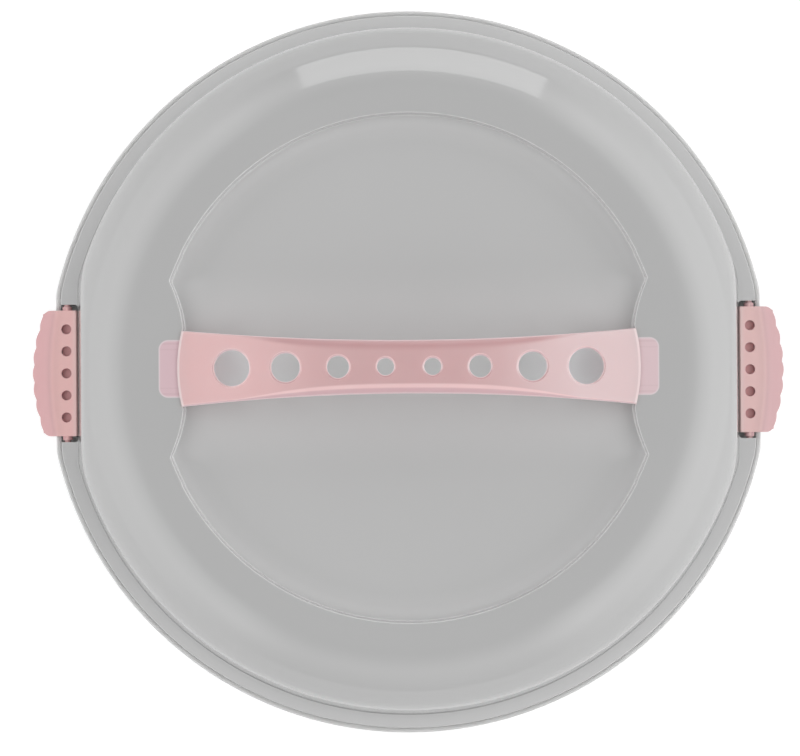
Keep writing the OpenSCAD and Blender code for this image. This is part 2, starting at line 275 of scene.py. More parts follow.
# %% Make the node group for moulded plastic
def new_group(name, inputs, outputs):
    """A node group with named inputs, each with its first value, and named outputs."""
    group = bpy.data.node_groups.new(name, "ShaderNodeTree")
    for label, value in inputs.items():
        kind = "NodeSocketColor" if isinstance(value, tuple) else "NodeSocketFloat"
        group.interface.new_socket(name=label, in_out="INPUT", socket_type=kind).default_value = value
    for label, kind in outputs.items():
        group.interface.new_socket(name=label, in_out="OUTPUT", socket_type=kind)
    given = group.nodes.new("NodeGroupInput").outputs
    return group, given, group.nodes.new("NodeGroupOutput").inputs


def moulded_group():
    """Clouds in a colour, uneven gloss and fine grain, all fixed to the piece."""
    group, given, out = new_group("moulded_plastic", {
        "Colour": (0.5, 0.5, 0.5, 1.0),
        "Cloud Strength": 0.03,
        "Clouds per Metre": 14.0,
        "Gloss Spread": 0.04,
        "Middle Roughness": 0.25,
        "Grains per Metre": 1600.0,
    }, {"Colour": "NodeSocketColor", "Roughness": "NodeSocketFloat", "Grain": "NodeSocketFloat"})
    place = group.nodes.new("ShaderNodeTexCoord").outputs["Object"]

    def noise(scale, detail):
        node = add(group.nodes, "ShaderNodeTexNoise", Detail=detail, Roughness=0.5)
        group.links.new(place, node.inputs["Vector"])
        group.links.new(scale, node.inputs["Scale"])
        return node.outputs["Fac"]

    clouds = calculate(group, "SUBTRACT", noise(given["Clouds per Metre"], 3.0), 0.5)
    strength = times(group, given["Cloud Strength"], 2.0)
    tint = group.nodes.new("ShaderNodeVectorMath")
    tint.operation = "SCALE"
    group.links.new(given["Colour"], tint.inputs[0])
    group.links.new(calculate(group, "MULTIPLY_ADD", clouds, strength, 1.0), tint.inputs["Scale"])
    group.links.new(tint.outputs[0], out["Colour"])
    patches = times(group, given["Clouds per Metre"], 3.0)
    uneven = calculate(group, "SUBTRACT", noise(patches, 2.0), 0.5)
    rough = calculate(group, "MULTIPLY_ADD", uneven, given["Gloss Spread"], given["Middle Roughness"])
    group.links.new(rough, out["Roughness"])
    group.links.new(noise(given["Grains per Metre"], 1.0), out["Grain"])
    return group


moulded = moulded_group()
print("group made:", moulded.name)

# %% [markdown]
# ## Another shared effect: a mask for painted light where the skin turns down
#
# Thin milky plastic looks lighter where it turns away from upright light, because more of it lies
# along each line of sight and light comes in from the side. That lightness is painted into the
# colour through this mask. The group measures how far the surface leans from lying flat and gives
# a mask that runs from 0, flat, to 1, turned down. The same mask places painted highlights on
# tight roundings.

# %% Make the node group for turned-down skin
def lean_group():
    """Mask of how far the surface leans over, from its own normal."""
    group, given, out = new_group(
        "turned_down", {"Start Degrees": 6.0, "Full Degrees": 26.0}, {"Mask": "NodeSocketFloat"}
    )
    upright = calculate(group, "ABSOLUTE", coordinates(group, "Normal")["Z"])
    upright = calculate(group, "MINIMUM", upright, 1.0)
    lean = times(group, calculate(group, "ARCCOSINE", upright), math.degrees(1.0))
    group.links.new(ramp(group, lean, given["Start Degrees"], given["Full Degrees"]), out["Mask"])
    return group


turned_down = lean_group()
print("group made:", turned_down.name)

# %% [markdown]
# ## The plastics
#
# Each material is a plain plastic shader. Its colour goes through the shared groups, the grain
# feeds a bump, and what is the same all over the piece is set on the shader itself. The milk is
# the share of light that spreads under the skin before it comes out again.

# %% Mix the four plastics
def blend_colours(tree, mask, first, second, way="MIX"):
    """A colour that goes from the first to the second with a mask, or is multiplied by the second."""
    node = add(tree.nodes, "ShaderNodeMix", data_type="RGBA", blend_type=way)
    sockets = [s for s in node.inputs if s.type == "RGBA"]
    for socket, value in zip(sockets, (first, second)):
        if isinstance(value, tuple):
            socket.default_value = (*value, 1.0)
        else:
            tree.links.new(value, socket)
    tree.links.new(mask, node.inputs["Factor"])
    return next(s for s in node.outputs if s.type == "RGBA")


def lean_mask(tree, start, full):
    """How far the surface leans over, as a mask from one angle to another."""
    lean = add(tree.nodes, "ShaderNodeGroup", node_tree=turned_down)
    lean.inputs["Start Degrees"].default_value = start
    lean.inputs["Full Degrees"].default_value = full
    return lean.outputs["Mask"]


def grey(level):
    return level, level, level


def plastic(name, flat, turned, roughness, grain, start=6.0, full=26.0, milk=0.0, blush=1.0):
    """A moulded plastic, with one colour where it lies flat and one where it is turned down."""
    material = bpy.data.materials.new(name)
    material.use_nodes = True
    tree = material.node_tree
    shader = tree.nodes["Principled BSDF"]
    for socket, value in (
        ("IOR", 1.49),
        ("Subsurface Weight", milk),
        ("Subsurface Radius", (1.0, blush, blush)),
        ("Subsurface Scale", 0.008),
    ):
        shader.inputs[socket].default_value = value
    skin = add(tree.nodes, "ShaderNodeGroup", node_tree=moulded)
    skin.name = "skin"
    skin.inputs["Cloud Strength"].default_value = 0.02
    skin.inputs["Middle Roughness"].default_value = roughness
    colour = blend_colours(tree, lean_mask(tree, start, full), flat, turned)
    tree.links.new(colour, skin.inputs["Colour"])
    tree.links.new(skin.outputs["Colour"], shader.inputs["Base Color"])
    tree.links.new(skin.outputs["Roughness"], shader.inputs["Roughness"])
    bump = add(tree.nodes, "ShaderNodeBump", Strength=grain, Distance=0.00004)
    tree.links.new(skin.outputs["Grain"], bump.inputs["Height"])
    tree.links.new(bump.outputs[0], shader.inputs["Normal"])
    return material


tray_plastic = plastic(
    "tray_plastic", (0.425, 0.425, 0.422), (0.42, 0.42, 0.417), roughness=0.32, grain=0.25, milk=1.0
)
# The lid's turned-down skin is painted lighter than its flats: painted light on the shoulder and side.
lid_plastic = plastic("lid_plastic", grey(0.407), grey(0.475), roughness=0.07, grain=0.04)
strap_pink = (0.555, 0.367, 0.37)
handle_plastic = plastic(
    "handle_plastic", strap_pink, strap_pink, roughness=0.34, grain=0.25, milk=0.6, blush=0.8
)
# The latch's flat plate is painted lighter than its grip, to offset the shade that the dome casts on it.
latch_plastic = plastic(
    "latch_plastic", (1.0, 0.61, 0.59), (0.69, 0.395, 0.405), roughness=0.30, grain=0.22,
    start=2.0, full=24.0, milk=0.1, blush=0.8,
)
print("plastics mixed:", tray_plastic.name, lid_plastic.name, handle_plastic.name, latch_plastic.name)

# %% [markdown]
# ### The handle's painted light and shade
#
# A mould has one plastic, and the handle's changes of colour here are painted light and shade.
# Each is a layer: a mask drawn from the piece's own coordinates, and the colour that shows through
# it. The handle is a solid strap of milky pink. Its broad back edge is painted darker, its front
# edge lighter with a painted highlight along its crest, its sloping ends are painted paler, the
# right one most, and the tight rounding at its outer edges and round its holes gets the lightest
# painted highlight.

# %% Shade the handle
end_arc_x = 29.2  # the arc that ends the handle and the land: its centre and radius
end_arc_r = 65.0
end_reach = 0.65  # the strap's ends bite into the edge of the land, so that no gap shows


def place_on(tree):
    """Coordinates in millimetres: X and Y without their signs, height, and distance from the axis."""
    x, y, z = (times(tree, c, 1 / MM) for c in coordinates(tree, "Object"))
    return calculate(tree, "ABSOLUTE", x), calculate(tree, "ABSOLUTE", y), z, distance_of(tree, y, x)


def right_half(tree):
    """0 on the left half of the carrier and 1 on its right half."""
    return ramp(tree, coordinates(tree, "Object")["X"], -MM, MM)


def from_end_arc(tree, x, y):
    """Distance from the centre of the arc that ends the handle."""
    return distance_of(tree, calculate(tree, "SUBTRACT", x, end_arc_x), y)


def shade(material, layers_on):
    """Lays a piece's layers, mostly painted light and shade, between its colour and the skin, last on top."""
    tree = material.node_tree
    target = tree.nodes["skin"].inputs["Colour"]
    colour = target.links[0].from_socket
    layers = layers_on(tree)
    for mask, tint, *way in layers:
        colour = blend_colours(tree, mask, colour, tint, *way)
    tree.links.new(colour, target)
    print(material.name, "shaded in", len(layers), "layers")


def handle_layers(tree):
    """The handle's painted light and shade. The masks follow how far the skin looks to the ends, back or
    front.
    """
    endward, backward, _ = coordinates(tree, "Normal")
    x, y, z, _ = place_on(tree)
    endways = ramp(tree, calculate(tree, "ABSOLUTE", endward), 0.10, 0.38)
    # Painted light: the sloping ends paler, the right one most.
    lit_end_pink = blend_colours(tree, right_half(tree), (0.67, 0.445, 0.445), (0.645, 0.50, 0.505))
    # Painted shade on the back edge.
    shaded_back_edge = times(tree, ramp(tree, backward, 0.06, 0.30), ramp(tree, x, 68.0, 48.0))
    # Painted light on the front slope, and a painted highlight along its crest.
    lit_front_edge = ramp(tree, backward, -0.26, -0.36)
    front_crest_highlight = times(tree, ramp(tree, backward, -0.10, -0.18), inverse(tree, lit_front_edge))
    # Painted highlight on the rim where each end of the strap meets the lid.
    strap_end = end_arc_r + end_reach
    end_rim_highlight = times(
        tree,
        ramp(tree, from_end_arc(tree, x, y), strap_end - 1.2, strap_end - 0.6),
        ramp(tree, z, lid_top - 2.0, lid_top - 0.5),
    )
    return (
        (endways, lit_end_pink),
        (shaded_back_edge, (0.495, 0.30, 0.305)),
        (lit_front_edge, (0.60, 0.41, 0.435)),
        (front_crest_highlight, (0.74, 0.525, 0.525)),
        # painted highlight on the tight roundings at the outer edges and round the holes
        (lean_mask(tree, 34.0, 56.0), (0.79, 0.62, 0.64)),
        (end_rim_highlight, (0.79, 0.62, 0.62)),
    )


shade(handle_plastic, handle_layers)

# %% [markdown]
# ### The lid's painted light and shade
#
# The lid's plastic lets light through, and most of its changes of colour here are painted light and
# shade. The flange, with the tray's ledge close beneath it, is painted lighter, with a painted
# highlight on its outer edge, and the foot of the dome is a painted dark line beside it. The
# corners round the panel, the strip under the handle and the panel under its holes are painted
# lighter, to offset the shade that the walls and the handle cast, and the panel's edge gets a
# painted highlight. Under the top skin at the ends of the handle lie the pink tongues, which show
# through as soft rounded shapes. Their light edge, the right tongue's lighter pink and a light
# line along each end of the handle are painted light.

# %% Shade the lid
flange_top = 23.5
panel_z = 127.2
panel_r = 104.6
tongue_half = 11.7


def tongue_distance(tree, x, y):
    """Distance outside the rounded outline of a tongue, in millimetres."""
    corner, half_long = 3.8, 10.0
    from_middle = calculate(tree, "ABSOLUTE", calculate(tree, "SUBTRACT", x, tongue_x - half_long))
    along = calculate(tree, "SUBTRACT", from_middle, half_long - corner)
    wide = calculate(tree, "SUBTRACT", y, tongue_half - corner)
    out = distance_of(tree, calculate(tree, "MAXIMUM", along, 0.0), calculate(tree, "MAXIMUM", wide, 0.0))
    inside = calculate(tree, "MINIMUM", calculate(tree, "MAXIMUM", along, wide), 0.0)
    return calculate(tree, "SUBTRACT", calculate(tree, "ADD", out, inside), corner)


def dome_foot(tree, z):
    """Mask of the small fillet where the dome stands on the flange."""
    return times(tree, lean_mask(tree, 8.0, 35.0), ramp(tree, z, flange_top + 2.5, flange_top + 1.3))


def lid_layers(tree):
    """The lid's painted light and shade, and the tongues seen through it, from the flange up."""
    x, y, z, across = place_on(tree)
    # Painted light on the flange and a painted highlight on its outer edge; the skirt below is set nearer the
    # lid's grey.
    flange = ramp(tree, z, flange_top + 1.1, flange_top - 0.3)
    outermost = ramp(tree, across, 154.0, 155.5)
    flange_edge_highlight = times(tree, lean_mask(tree, 15.0, 50.0), outermost)
    skirt = times(tree, ramp(tree, z, flange_top - 0.3, flange_top - 0.8), outermost)

    in_panel = times(
        tree,
        ramp(tree, z, lid_top - 0.4, lid_top - 2.5),
        ramp(tree, z, panel_z - 9.2, panel_z - 5.2),
        ramp(tree, across, panel_r + 2.4, panel_r + 1.0),
    )
    # Painted light under the handle, by the panel's wall and land, at the wall's foot, under the strap and
    # under its holes, to offset the shade that the walls and the handle cast.
    under_handle = times(tree, ramp(tree, y, 44.0, 9.0), in_panel)
    by_wall = ramp(tree, across, panel_r - 12.6, panel_r - 0.6)
    by_land = times(tree, ramp(tree, x, 78.0, 94.0), ramp(tree, y, 42.0, 34.0))
    painted_corner_light = times(tree, calculate(tree, "MAXIMUM", by_wall, by_land), in_panel)
    wall_foot = times(tree, ramp(tree, across, panel_r - 6.6, panel_r - 0.4), in_panel)
    under_strap = times(tree, ramp(tree, y, 12.0, 7.0), in_panel)
    under_ends = times(tree, ramp(tree, x, 36.0, 74.0), under_strap)
    # Painted highlight on the rounded edges of the panel.
    panel_edge_highlights = times(
        tree,
        lean_mask(tree, 12.0, 45.0),
        ramp(tree, across, panel_r + 5.4, panel_r + 1.4),
        ramp(tree, z, panel_z - 3.2, panel_z - 0.7),
    )

    on_top = ramp(tree, z, lid_top - 1.0, lid_top - 0.4)
    distance = tongue_distance(tree, x, y)
    tongue = times(tree, ramp(tree, distance, 0.25, -0.35), on_top)
    ribs = ramp(tree, calculate(tree, "SINE", times(tree, y, 2.6)), 0.4, 1.0)
    ribs = times(tree, ribs, ramp(tree, y, 7.0, 8.5), 0.6)
    pink = blend_colours(tree, ribs, (0.615, 0.445, 0.48), (0.55, 0.39, 0.42))
    # Painted light: the right tongue a little lighter.
    pink = blend_colours(tree, right_half(tree), pink, (1.05, 1.11, 1.08), "MULTIPLY")
    # Painted highlight round each tongue's edge, and a painted light line beside each end of the handle.
    from_line = calculate(tree, "ABSOLUTE", calculate(tree, "ADD", distance, 0.15))
    tongue_rim_highlight = times(tree, ramp(tree, from_line, 0.45, 0.15), on_top, 0.7)
    beside_handle = times(
        tree,
        ramp(tree, from_end_arc(tree, x, y), end_arc_r + 1.1, end_arc_r + 0.3),
        ramp(tree, y, handle_end_half + 0.4, handle_end_half - 0.6),
        on_top,
    )
    return (
        (flange, grey(0.63)),
        # the foot of the dome: a painted dark line, a painted shadow
        (dome_foot(tree, z), grey(0.33)),
        (flange_edge_highlight, grey(0.78)),
        (skirt, grey(0.50)),
        (in_panel, grey(0.445)),
        (under_handle, grey(0.56)),
        (painted_corner_light, grey(0.52)),
        (wall_foot, grey(0.58)),
        (under_strap, (0.65, 0.68, 0.68)),
        (under_ends, (0.87, 0.92, 0.93)),
        (panel_edge_highlights, grey(0.60)),
        (tongue, pink),
        (tongue_rim_highlight, (0.67, 0.59, 0.61)),
        (beside_handle, (0.80, 0.66, 0.66)),
    )


shade(lid_plastic, lid_layers)

# %% [markdown]
# ### How the lid is polished
#
# The shoulder mirrors the tent crisply, so it is highly polished. The flats are a little duller,
# and the fillet at the dome's foot, which no tool can reach well, hardly shines.

# %% Polish the lid
polish = lid_plastic.node_tree
gloss = ramp(polish, lean_mask(polish, 4.0, 14.0), 0.0, 1.0, 0.20, 0.07)
gloss = calculate(polish, "MAXIMUM", gloss, times(polish, dome_foot(polish, place_on(polish)[2]), 0.6))
polish.links.new(gloss, polish.nodes["skin"].inputs["Middle Roughness"])
print("lid polished")

# %% [markdown]
# ### What shows of the tray
#
# From above only the rim's crest and the gap beside it show. The crest and the rim's inner side
# are painted lighter than the rest, painted light that stands in for light reaching them through
# the thin plastic. Behind the latches, where the rim is cut flat and stands against the open air,
# the inner side keeps the tray's grey.

# %% Shade the tray
rim_t = 2.1


def tray_layers(tree):
    """Painted light on the inner side of the rim and on its crest."""
    x, y, z, across = place_on(tree)
    inner = rim_r - rim_t
    by_flat = times(tree, ramp(tree, x, 100.0, 110.0), ramp(tree, y, 38.5, 36.5))
    inside = times(
        tree,
        ramp(tree, across, inner - 3.0, inner - 1.5),
        ramp(tree, across, inner + 0.9, inner + 0.5),
        ramp(tree, z, rim_top - 0.3, rim_top - 1.0),
        inverse(tree, by_flat),
    )
    crest = ramp(tree, z, rim_top - 0.8, rim_top - 0.4)
    # Painted light: the rim's inner side and its crest lighter than the rest.
    return (inside, grey(0.85)), (crest, (0.57, 0.57, 0.566))


shade(tray_plastic, tray_layers)

# %% [markdown]
# ### The latches' painted light and shade
#
# The bend between plate and grip gets a painted shade, the edge beside the dome is painted paler
# against the dome's shade, and the right latch is painted a little greyer than the left one. One
# plastic serves both latches, so the last shade is a tint that multiplies the others on the right
# half.

# %% Shade the latches
def latch_layers(tree):
    """Painted shade in the bend, painted light beside the dome, and the right latch's painted grey tint."""
    x, _, _, across = place_on(tree)
    bend = times(tree, ramp(tree, across, 153.0, 157.5), ramp(tree, across, 162.0, 158.5), 0.3)
    # Painted shade in the bend, painted light on the edge beside the dome, painted grey on the right latch.
    return (
        (bend, (0.74, 0.45, 0.45)),
        (ramp(tree, x, 149.4, 147.4), (1.0, 0.66, 0.64)),
        (right_half(tree), (0.90, 0.98, 0.985), "MULTIPLY"),
    )


shade(latch_plastic, latch_layers)

# %% [markdown]
# ## How a turned form is drawn
#
# The tray and the dome are turned forms with flats. A section is a chain of corners, each with the
# radius that rounds it. The chain is swept round the upright axis, and where a flat cuts in, the
# distance from the axis is the smaller of two lengths, blended so that the edge is soft.

# %% Helpers for turned forms
@dataclass
class Corner:
    """A corner of a section: how far out, how high, how round, and what lies behind it."""

    out: float
    up: float
    round: float = 0.0
    arc: int = 4  # pieces in the arc that rounds it
    run: int = 1  # pieces in the straight run after it
    flat: float = 0.0  # how much nearer to the axis the flat cuts it
    inset: float = 0.0  # how far inside the outer skin it lies


def rounded(corners):
    """The chain through these corners, as tuples of out, up, flat and inset."""
    groups = []
    last = len(corners) - 1
    for i, corner in enumerate(corners):
        here = Vector((corner.out, corner.up))
        if not (0 < i < last and corner.round):
            groups.append([here])
            continue
        back = Vector((corners[i - 1].out, corners[i - 1].up)) - here
        onward = Vector((corners[i + 1].out, corners[i + 1].up)) - here
        half = back.angle(onward) / 2
        touch = min(corner.round / math.tan(half), 0.9 * back.length, 0.9 * onward.length)
        back.normalize()
        onward.normalize()
        radius = touch * math.tan(half)
        centre = here + (back + onward).normalized() * radius / math.sin(half)
        first = here + back * touch - centre
        sweep = math.pi - 2 * half
        second = here + onward * touch - centre
        groups.append([
            centre + (first * math.sin((1 - t) * sweep) + second * math.sin(t * sweep)) / math.sin(sweep)
            for t in (k / corner.arc for k in range(corner.arc + 1))
        ])
    chain = []
    for i, (corner, group) in enumerate(zip(corners, groups)):
        chain += [(p.x, p.y, corner.flat, corner.inset) for p in group]
        if i < last:
            after, start, end = corners[i + 1], group[-1], groups[i + 1][0]
            for k in range(1, corner.run):
                t = k / corner.run
                p = start.lerp(end, t)
                mix = [a + (b - a) * t for a, b in ((corner.flat, after.flat), (corner.inset, after.inset))]
                chain.append((p.x, p.y, *mix))
    return chain


def soft_least(a, b, blend):
    """The smaller of two lengths, with the corner where they cross smoothed over."""
    near = max(blend - abs(a - b), 0.0) / blend
    return min(a, b) - near * near * blend / 4


def turn_angles(fine_half, fine_step, coarse_step):
    """Angles for a full turn, closer together around the X axis, where the flats are."""
    fine = round(fine_half / fine_step)
    coarse = round((180 - 2 * fine_half) / coarse_step)
    half = [fine_half * k / fine for k in range(-fine, fine)]
    half += [fine_half + (180 - 2 * fine_half) * k / coarse for k in range(coarse)]
    return [math.radians(a + side) for side in (0, 180) for a in half]


def new_piece(name, points, faces):
    """An object from points in millimetres."""
    mesh = bpy.data.meshes.new(name)
    mesh.from_pydata([(x * MM, y * MM, z * MM) for x, y, z in points], [], faces)
    piece = bpy.data.objects.new(name, mesh)
    bpy.context.collection.objects.link(piece)
    return piece


def turned_piece(name, chain_at, angles):
    """A closed form whose section may change on its way round. Its chain starts and ends on the axis."""
    chains = [chain_at(a) for a in angles]
    rows = len(chains[0])
    count = len(angles)
    points = [(0.0, 0.0, chains[0][0][1])]
    for row in range(1, rows - 1):
        for a, chain in zip(angles, chains):
            out, up = chain[row]
            points.append((out * math.cos(a), out * math.sin(a), up))
    points.append((0.0, 0.0, chains[0][-1][1]))
    faces = []
    last = 1 + (rows - 3) * count
    for k in range(count):
        on = (k + 1) % count
        faces.append((0, 1 + k, 1 + on))
        faces += [(a + k, a + count + k, a + count + on, a + on) for a in range(1, last, count)]
        faces.append((len(points) - 1, last + on, last + k))
    return new_piece(name, points, faces)


print("helpers for turned forms ready")

# %% [markdown]
# ## Cutting, joining and finishing
#
# Notches, slots and holes are cut with Boolean modifiers, and lugs and ribs are joined on the same
# way, because the exact solver keeps each piece one closed skin. Every piece ends with smooth
# shading that keeps crisp edges, and with normals weighted by face area, so that flat faces look
# flat right up to their rounded edges.

# %% Helpers for cutting and finishing
def settle(piece):
    """Makes what the modifiers show the piece's own mesh."""
    view = bpy.context.evaluated_depsgraph_get()
    made = bpy.data.meshes.new_from_object(piece.evaluated_get(view))
    old = piece.data
    piece.modifiers.clear()
    piece.data = made
    bpy.data.meshes.remove(old)


def shape_with(piece, tool, operation):
    """Cuts a tool out of a piece (DIFFERENCE) or joins it on (UNION), and clears the tool away."""
    step = piece.modifiers.new("shape", "BOOLEAN")
    step.operation = operation
    step.solver = "EXACT"
    step.object = tool
    settle(piece)
    bpy.data.objects.remove(tool)


def ease_edges(piece, width, angle, segments=3):
    """Rounds the edges of a piece that are sharper than an angle, by a width in millimetres."""
    step = piece.modifiers.new("ease", "BEVEL")
    step.width = width * MM
    step.segments = segments
    step.limit_method = "ANGLE"
    step.angle_limit = math.radians(angle)
    settle(piece)


def dress(piece, material, node, body):
    """Gives a piece its plastic, shading and place in the moving model."""
    piece.data.materials.clear()
    piece.data.materials.append(material)
    for face in piece.data.polygons:
        face.use_smooth = True
    piece.data.set_sharp_from_angle(angle=math.radians(40.0))
    weigh = piece.modifiers.new("weighted_normals", "WEIGHTED_NORMAL")
    weigh.keep_sharp = True
    settle(piece)
    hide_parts(node)
    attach(piece, body)
    print(piece.name, "has", len(piece.data.polygons), "faces")


def tube_faces(rows, ring):
    """Faces of a tube made of rings of points: its side and a cap at either end."""
    faces = []
    for a in range(0, (rows - 1) * ring, ring):
        faces += [(a + k, a + (k + 1) % ring, a + ring + (k + 1) % ring, a + ring + k) for k in range(ring)]
    faces.append(tuple(reversed(range(ring))))
    faces.append(tuple(range((rows - 1) * ring, rows * ring)))
    return faces


def prism(name, outline, low, high):
    """A plan outline in X and Y, drawn up from one height to another."""
    return new_piece(name, [(x, y, z) for z in (low, high) for x, y in outline], tube_faces(2, len(outline)))


def swept(name, stations, section_at):
    """A form swept along Y, with flat ends."""
    points = [(x, y, z) for y in stations for x, z in section_at(y)]
    return new_piece(name, points, tube_faces(len(stations), len(points) // len(stations)))


def circle(radius, steps=24):
    """Points round a circle."""
    turns = [2 * math.pi * k / steps for k in range(steps)]
    return [(radius * math.cos(a), radius * math.sin(a)) for a in turns]


def rod(name, x, z, radius, half):
    """A round rod along Y."""
    section = [(x + dx, z + dz) for dx, dz in circle(radius)]
    return swept(name, (-half, half), lambda y: section)


def block(name, x, y, low, high, radii=(0, 0, 0, 0)):
    """An upright block. Its corners have their own radii, anticlockwise from the lowest."""
    (x0, x1), (y0, y1) = sorted(x), sorted(y)
    outline = []
    corners = ((x0, y0, 180), (x1, y0, 270), (x1, y1, 0), (x0, y1, 90))
    for (cx, cy, start), radius in zip(corners, radii):
        cx += radius if cx == x0 else -radius
        cy += radius if cy == y0 else -radius
        for k in range(7 if radius else 1):
            a = math.radians(start + 15 * k)
            outline.append((cx + radius * math.cos(a), cy + radius * math.sin(a)))
    return prism(name, outline, low, high)


def facing(side, radius):
    """Corner radii for a block that is rounded only where it faces right (1) or left (-1)."""
    return (0, radius, radius, 0) if side > 0 else (radius, 0, 0, radius)


def joined(name, pieces):
    """Several separate meshes as one object."""
    points, faces = [], []
    for piece in pieces:
        base = len(points)
        points += [tuple(c / MM for c in v.co) for v in piece.data.vertices]
        faces += [tuple(base + i for i in face.vertices) for face in piece.data.polygons]
        bpy.data.objects.remove(piece)
    return new_piece(name, points, faces)


print("helpers for cutting ready")

# %% [markdown]
# ## Tray
#
# From above only the tray's rim shows, as the outermost ring. Under the lid it is a shallow dish
# with a sloping wall and a ledge, and below it stands on two rings joined by ribs. It is one
# turned form with a flat behind each latch. The ribs are joined on from below.

# %% Turn the tray
wall = 2.0
ledge_z = 15.5
floor_z = 6.0
dish_r, dish_floor_r = 143.0, 133.0
rim_flat = rim_r - rim_flat_x  # how deep the flats behind the latches cut the rim
foot_rings = ((118.0, 121.0), (57.0, 60.0))
floor_under = floor_z - wall
back_shift = 0.8  # how far out the back of the sloping wall lies

tray_section = [
    Corner(0.0, floor_z, run=5),
    Corner(dish_floor_r, floor_z, 4.0),
    Corner(dish_r, ledge_z, 2.0),
    Corner(rim_r - rim_t, ledge_z, 0.6, flat=rim_flat),
    Corner(rim_r - rim_t, rim_top, 0.3, flat=rim_flat),
    Corner(rim_r, rim_top, 0.6, flat=rim_flat),
    Corner(rim_r, ledge_z - wall, 0.8, flat=rim_flat),
    Corner(dish_r + back_shift, ledge_z - wall, 2.0),
    Corner(dish_floor_r + back_shift, floor_under, 4.0),
]
for inner, outer in foot_rings:
    tray_section += [
        Corner(outer, floor_under, 0.6),
        Corner(outer, 0.0, 0.6),
        Corner(inner, 0.0, 0.6),
        Corner(inner, floor_under, 0.6, run=3),
    ]
tray_section.append(Corner(0.0, floor_under))
tray_chain = rounded(tray_section)


def tray_at(angle):
    """The tray's section in one direction, with its rim cut back to the flat."""
    across = max(abs(math.cos(angle)), 0.05)
    return [
        (soft_least(out, (out - flat) / across, 0.6) if flat > 0.5 * rim_flat else out, up)
        for out, up, flat, _ in tray_chain
    ]


tray = turned_piece("tray", tray_at, turn_angles(20.0, 0.5, 2.0))

rib_count = 8
rib_t = 1.6
rib_ends = [inner + 1.5 for inner, _ in reversed(foot_rings)]
ribs = []
for i in range(rib_count):
    a = 2 * math.pi * (i + 0.5) / rib_count
    along, side = Vector((math.cos(a), math.sin(a))), Vector((-math.sin(a), math.cos(a)))
    plan = [along * rib_ends[far] + side * s * rib_t / 2 for far, s in ((0, -1), (1, -1), (1, 1), (0, 1))]
    ribs.append(prism("rib", plan, floor_under / 2, floor_under + wall / 2))
shape_with(tray, joined("ribs", ribs), "UNION")
dress(tray, tray_plastic, "base_tray", "tray")

# %% [markdown]
# ## Lid
#
# The lid is one thin skin: a sunk panel in the top, a broad round shoulder, a side that leans in
# by a few degrees with a flat over each latch, and a flange with a turned-down edge. The panel
# stops short at each end of the handle, where the lid's top reaches in to hold it. Its skin is
# drawn as one chain, down the outside and back up the inside.

# %% Draw the lid's section
draft = math.radians(6.0)
dome_r, dome_flat_x = 151.5, 146.0
shoulder_r = 30.0
panel_lean = 0.3  # how far the panel's wall leans in towards its foot
land_x = 94.6
land_flat_half, land_half = 16.5, 37.0
skirt_t = 2.0
rise = lid_top - flange_top


def sag(radius, across):
    """How far an arc has come down from its crown at a distance from its middle."""
    return radius - math.sqrt(radius**2 - across * across)


def land_edge(y):
    """How far out the land's edge lies at a distance from the handle's axis."""
    if y <= land_flat_half:
        return land_x - sag(end_arc_r, y)
    near = land_edge(land_flat_half)
    out = math.sqrt(panel_r**2 - land_half**2) + 0.5
    return near + (out - near) * ((y - land_flat_half) / (land_half - land_flat_half)) ** 1.6


def panel_edge(angle):
    """Distance from the axis to the edge of the sunk panel in one direction."""
    slope = abs(math.tan(angle)) if abs(math.cos(angle)) > 0.5 else 9.0
    if slope > 0.5:
        return panel_r
    low, high = 60.0, 130.0
    for _ in range(40):
        middle = (low + high) / 2
        x = middle / math.sqrt(1 + slope * slope)
        y = x * slope
        reached = x > land_edge(y) if y < land_half else middle > panel_r
        low, high = (low, middle) if reached else (middle, high)
    return soft_least(panel_r, low, 1.2)


def lid_section(edge, crisp):
    """The lid's section where the panel's edge lies this far out and is this crisp."""
    side = math.tan(draft) * rise
    dome, flange = dome_r - dome_flat_x, flange_r - flange_flat_x
    return rounded([
        Corner(0.0, panel_z, run=5),
        Corner(edge - panel_lean, panel_z, 0.7),
        Corner(edge, lid_top, 0.6 - 0.4 * crisp, run=2),
        Corner(dome_r - side, lid_top, shoulder_r, arc=18, run=9, flat=dome),
        Corner(dome_r, flange_top, 0.6, flat=dome),
        Corner(flange_r, flange_top, 0.4, flat=flange),
        Corner(flange_r, lid_foot, 0.6, flat=flange),
        Corner(flange_r - skirt_t, lid_foot, 0.6, flat=flange),
        Corner(flange_r - skirt_t, flange_top - wall, 0.5, flat=flange),
        Corner(dome_r, flange_top - wall, 0.5, flat=dome),
        Corner(dome_r, lid_foot, 0.5, flat=dome),
        Corner(dome_r - wall, lid_foot, 0.5, flat=dome, inset=wall),
        Corner(dome_r - wall, flange_top, run=9, flat=dome, inset=wall),
        Corner(dome_r - wall - side, lid_top - wall, shoulder_r - wall, arc=18, run=2, flat=dome, inset=wall),
        Corner(edge + wall, lid_top - wall, 0.6),
        Corner(edge + wall - panel_lean, panel_z - wall, 2.0, run=5),
        Corner(0.0, panel_z - wall),
    ])


def lid_at(angle):
    """The lid's section in one direction, cut back to the flats over the latches."""
    across = max(abs(math.cos(angle)), 0.05)
    edge = panel_edge(angle)
    beside_handle = edge * abs(math.sin(angle)) < handle_end_half - 0.5 and abs(math.cos(angle)) > 0.5
    chain = []
    for out, up, flat, inset in lid_section(edge, float(beside_handle)):
        if flat:
            climb = max(up - flange_top, 0.0)
            upright = max(dome_r - inset - climb * math.tan(draft), out)
            blend = 0.8 + 2.4 * min(climb / 100.0, 1.0)
            out = soft_least(out, (upright - flat) / across, blend)
        chain.append((out, up))
    return chain


